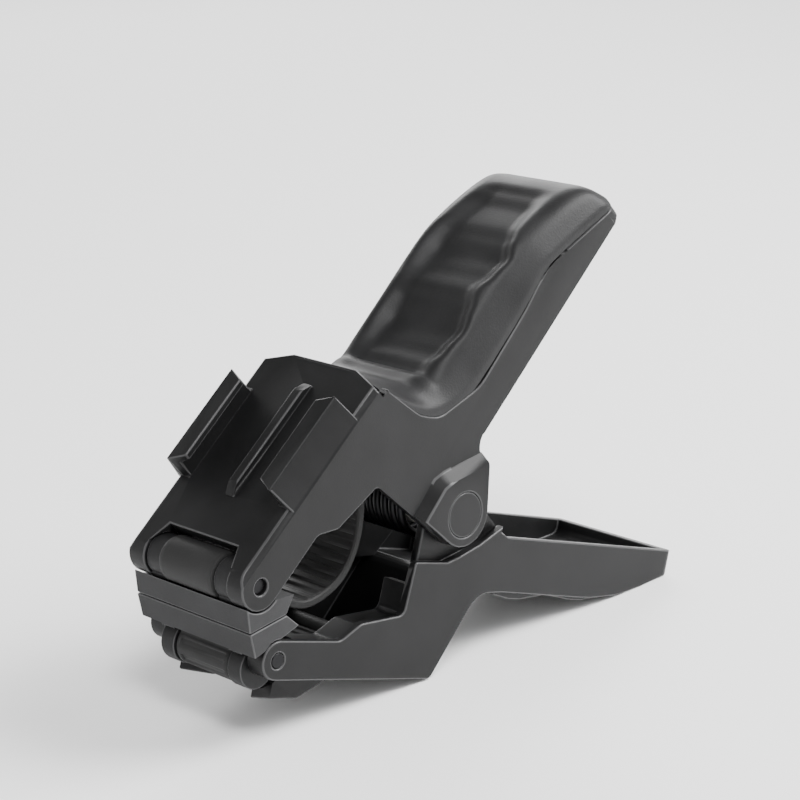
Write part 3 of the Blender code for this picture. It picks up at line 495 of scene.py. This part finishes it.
RIB_PITCH = 3.3
RIB_FLANK = (0.25, 0.75)        # share of the wave's height that a rib's rounded flank takes
RIB_HEIGHT = 0.6
GROOVE_HALF = 0.65              # half thickness of a strip in the grooves between its ribs
RIM = 1.6                       # width of the smooth rims
RIM_HALF = 1.2                  # half thickness of a strip's rims
RIM_CHAMFER = 0.4
WIDENING = (12, 22)             # stretch of a strip, from its pin, over which its width changes
STRIP_HALF = 10.7               # half width of the strips before it
STRIP_STEP = 0.41
PATH_SAMPLES = 60               # between two points of a route

BARREL_SIDES = 120
BARREL_EDGE = 0.6               # rounding of a loop's ends
BARREL_EDGE_BEND = 0.3          # share of it at which the rounding has its middle point
RIM_STEP = (-0.05, 0.35)        # places, in from the rim, between which a loop's ribs rise


def rib_height(distance):
    """Rounded transverse rib, from 0 in the groove to 1 on its crest."""
    wave = 0.5 - 0.5 * math.cos(2 * math.pi * distance / RIB_PITCH)
    return ease(wave, *RIB_FLANK)


def even_path(points, step):
    """Evenly spaced points on the smooth curve through the given ones."""
    dense = [catmull(points, i / PATH_SAMPLES) for i in range((len(points) - 1) * PATH_SAMPLES + 1)]
    path = [dense[0]]
    for p in dense[1:]:
        if (p - path[-1]).length >= step:
            path.append(p)
    return path


def strip_section(half, thickness):
    """Outline of a strip with smooth rims and a middle of the given half thickness."""
    side = [(half, RIM_HALF - RIM_CHAMFER), (half - RIM_CHAMFER, RIM_HALF),
            (half - RIM + RIM_CHAMFER, RIM_HALF), (half - RIM, thickness)]
    face = side + [(-y, h) for y, h in reversed(side)]
    return face + [(y, -h) for y, h in reversed(face)]


def add_strip(bm, route, first, half_rear):
    """Strip with ribs on both faces, along a route from a first distance on."""
    path = even_path(route, STRIP_STEP)
    rings = []
    for i in range(1, len(path) - 1):
        distance = i * STRIP_STEP
        if distance < first:
            continue
        along = (path[i + 1] - path[i - 1]).normalized()
        off = Vector((-along.y, along.x))
        half = STRIP_HALF + (half_rear - STRIP_HALF) * ease(distance, *WIDENING)
        section = strip_section(half, GROOVE_HALF + RIB_HEIGHT * rib_height(distance))
        rings.append(add_ring(bm, [(path[i].x + off.x * h, y, path[i].y + off.y * h) for y, h in section]))
    skin(bm, rings)


def bulge(angle, lobe, shrink):
    """Distance, at an angle, to the edge of a round lobe beside the centre."""
    x, z, radius = lobe
    along = x * math.cos(angle) + z * math.sin(angle)
    past = x * math.sin(angle) - z * math.cos(angle)
    return along + math.sqrt(max(0.0, (radius - shrink) ** 2 - past * past))


def add_barrel(bm, centre, radius, half, ribs=0.0, lobe=None):
    """Round bar along Y with rounded ends; it may be ribbed, and bulge round a second centre."""
    stations = [(-half, radius - BARREL_EDGE),
                (-half + BARREL_EDGE * BARREL_EDGE_BEND, radius - BARREL_EDGE * BARREL_EDGE_BEND),
                (-half + BARREL_EDGE, radius),
                *((-half + RIM + step, radius) for step in RIM_STEP)]
    stations += [(-y, r) for y, r in reversed(stations)]
    rings = []
    for y, r in stations:
        points = []
        for k in range(BARREL_SIDES):
            angle = 2 * math.pi * k / BARREL_SIDES
            reach = max(r, bulge(angle, lobe, radius - r)) if lobe else r
            if abs(y) < half - RIM:
                reach -= ribs * (1 - rib_height(angle * radius))
            points.append((centre[0] + reach * math.cos(angle), y, centre[1] + reach * math.sin(angle)))
        rings.append(add_ring(bm, points))
    skin(bm, rings)


def make_upper_band():
    bm = bmesh.new()
    add_barrel(bm, UPPER_PIN, UPPER_LOOP_R, LOOP_HALF)
    add_strip(bm, UPPER_ROUTE, first=5.0, half_rear=12.9)
    add_barrel(bm, UPPER_ROD, EYE_R, EYE_HALF)
    place(bm, "upper_band_ribbed", "upper_lever", "band_rubber", "upper_band")


def make_lower_band():
    bm = bmesh.new()
    add_barrel(bm, LOWER_PIN, LOWER_LOOP_R, LOOP_HALF, ribs=RIB_HEIGHT, lobe=LOWER_LOBE)
    add_strip(bm, LOWER_ROUTE, first=4.0, half_rear=10.9)
    add_barrel(bm, LOWER_ROD, EYE_R, EYE_HALF)
    place(bm, "lower_band_ribbed", "lower_lever", "band_rubber", "lower_band")


make_upper_band()
make_lower_band()


# ------------------------------------------------------------------ spring

COIL_R = 9.2
COIL_HALF = 10.0                # half length of the coil
COIL_TURNS = 6
COIL_STEP = math.radians(9)
WIRE_R = 1.3
WIRE_SIDES = 14
WIRE_END = 0.75                 # share of the radius at the wire's cut ends
LEG_PIECES = 12
LOWER_LEG_TIP = (30.0, -18.9)
UPPER_LEG_TIP = handle(18.8, 7.2)


def touch(tip, side):
    """Angle at which a straight leg from a point meets the coil."""
    return math.atan2(tip[1], tip[0]) + side * math.acos(COIL_R / math.hypot(*tip))


def spring_route():
    """Lower leg, coil round the pivot and upper leg, as the CAD spring runs."""
    start = touch(LOWER_LEG_TIP, -1)
    turn = 2 * math.pi
    total = turn * COIL_TURNS + (start - touch(UPPER_LEG_TIP, 1)) % turn
    steps = round(total / COIL_STEP)
    coil = []
    for i in range(steps + 1):
        angle = start - total * i / steps
        y = COIL_HALF * (2 * i / steps - 1)
        coil.append(Vector((COIL_R * math.cos(angle), y, COIL_R * math.sin(angle))))
    lower_tip = Vector((LOWER_LEG_TIP[0], -COIL_HALF, LOWER_LEG_TIP[1]))
    upper_tip = Vector((UPPER_LEG_TIP[0], COIL_HALF, UPPER_LEG_TIP[1]))
    lower_leg = [lower_tip.lerp(coil[0], k / LEG_PIECES) for k in range(LEG_PIECES)]
    upper_leg = [coil[-1].lerp(upper_tip, (k + 1) / LEG_PIECES) for k in range(LEG_PIECES)]
    return lower_leg + coil + upper_leg


def add_wire(bm, points):
    """Round wire along a path, with its ends slightly narrowed."""
    rings = []
    across = Vector((0, 1, 0))
    last = len(points) - 1
    for i, point in enumerate(points):
        along = (points[min(i + 1, last)] - points[max(i - 1, 0)]).normalized()
        across = (across - along * across.dot(along)).normalized()
        third = along.cross(across)
        reach = WIRE_R * (WIRE_END if i in (0, last) else 1.0)
        angles = [2 * math.pi * k / WIRE_SIDES for k in range(WIRE_SIDES)]
        rings.append(add_ring(bm, [point + (across * math.cos(a) + third * math.sin(a)) * reach
                                   for a in angles]))
    skin(bm, rings)


def make_spring():
    """Coil round the pivot with one leg in the lower handle and one in the upper, as one loose piece with
    no body, so it does not turn with the jaws.
    """
    bm = bmesh.new()
    add_wire(bm, spring_route())
    spring = place(bm, "torsion_spring_wire", None, "black_steel", "torsion_spring")
    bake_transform(spring)


make_spring()


# ------------------------------------------- floor, lights, world and camera

FLOOR_REACH = 6.0               # m from the middle to each side
FLOOR_COLOUR = (0.96, 0.96, 0.96, 1)
FLOOR_ROUGHNESS = 0.6

# Name, place, aim, width and height in metres, and power in watts
LIGHTS = (("key", (-0.4, -0.65, 1.3), (0, 0, 0.06), (0.45, 0.45), 15),
          ("side", (0.9, -0.7, 1.0), (0, 0, 0.06), (0.9, 0.9), 50),
          ("rear", (1.0, 1.3, 0.8), (0, 0, 0.08), (1.2, 0.8), 17))

SKY_WHITE_TO = 0.42             # height on the sky up to which it is white
SKY_DIM_FROM = 0.72             # and from which it is dim
SKY_DIM = (0.16, 0.16, 0.16, 1)
SKY_STRENGTH = 1.35

CAMERA_AZIMUTH = math.radians(-44.31525)
CAMERA_ELEVATION = math.radians(17.15599)
CAMERA_ROLL = math.radians(-2.06271)
CAMERA_FROM_PIVOT = (-0.4686966, -0.4816900, 0.2368897)
SENSOR = 36.0                   # mm
LENS = 108.36                   # mm


def make_floor():
    mesh = bpy.data.meshes.new("floor")
    bm = bmesh.new()
    bmesh.ops.create_grid(bm, x_segments=1, y_segments=1, size=FLOOR_REACH)
    bm.to_mesh(mesh)
    bm.free()
    mat = bpy.data.materials.new("pale_floor")
    mat.use_nodes = True
    shader = mat.node_tree.nodes["Principled BSDF"]
    shader.inputs["Base Color"].default_value = FLOOR_COLOUR
    shader.inputs["Roughness"].default_value = FLOOR_ROUGHNESS
    mesh.materials.append(mat)
    link(bpy.data.objects.new("floor", mesh))


def make_world():
    """White all round the horizon and dimmer overhead, like a white sweep under a dark ceiling."""
    world = bpy.data.worlds.new("studio")
    world.use_nodes = True
    nodes = world.node_tree.nodes
    links = world.node_tree.links
    coord = nodes.new("ShaderNodeTexCoord")
    split = nodes.new("ShaderNodeSeparateXYZ")
    ramp = nodes.new("ShaderNodeValToRGB")
    white, dim = ramp.color_ramp.elements
    white.position = SKY_WHITE_TO
    white.color = (1, 1, 1, 1)
    dim.position = SKY_DIM_FROM
    dim.color = SKY_DIM
    links.new(coord.outputs["Generated"], split.inputs["Vector"])
    links.new(split.outputs["Z"], ramp.inputs["Fac"])
    links.new(ramp.outputs["Color"], nodes["Background"].inputs["Color"])
    nodes["Background"].inputs["Strength"].default_value = SKY_STRENGTH
    bpy.context.scene.world = world


def area_light(name, location, target, size, power):
    light = bpy.data.lights.new(name, "AREA")
    light.shape = "RECTANGLE"
    light.size, light.size_y = size
    light.energy = power
    obj = link(bpy.data.objects.new(name, light))
    obj.location = location
    obj.rotation_euler = (Vector(target) - Vector(location)).to_track_quat("-Z", "Y").to_euler()


def make_camera():
    camera = bpy.data.cameras.new("camera")
    camera.sensor_width = SENSOR
    camera.lens = LENS
    camera.clip_start = 0.01
    camera.clip_end = 50
    level = Vector((math.cos(CAMERA_AZIMUTH), math.sin(CAMERA_AZIMUTH), 0))
    back = Vector((math.sin(CAMERA_AZIMUTH) * math.cos(CAMERA_ELEVATION),
                   -math.cos(CAMERA_AZIMUTH) * math.cos(CAMERA_ELEVATION), math.sin(CAMERA_ELEVATION)))
    upright = back.cross(level)
    right = level * math.cos(CAMERA_ROLL) + upright * math.sin(CAMERA_ROLL)
    up = upright * math.cos(CAMERA_ROLL) - level * math.sin(CAMERA_ROLL)
    turned = Matrix((right, up, back)).transposed().to_4x4()
    obj = link(bpy.data.objects.new("camera", camera))
    obj.matrix_world = Matrix.Translation(PIVOT + Vector(CAMERA_FROM_PIVOT)) @ turned
    bpy.context.scene.camera = obj


make_floor()
make_world()
for light in LIGHTS:
    area_light(*light)
make_camera()
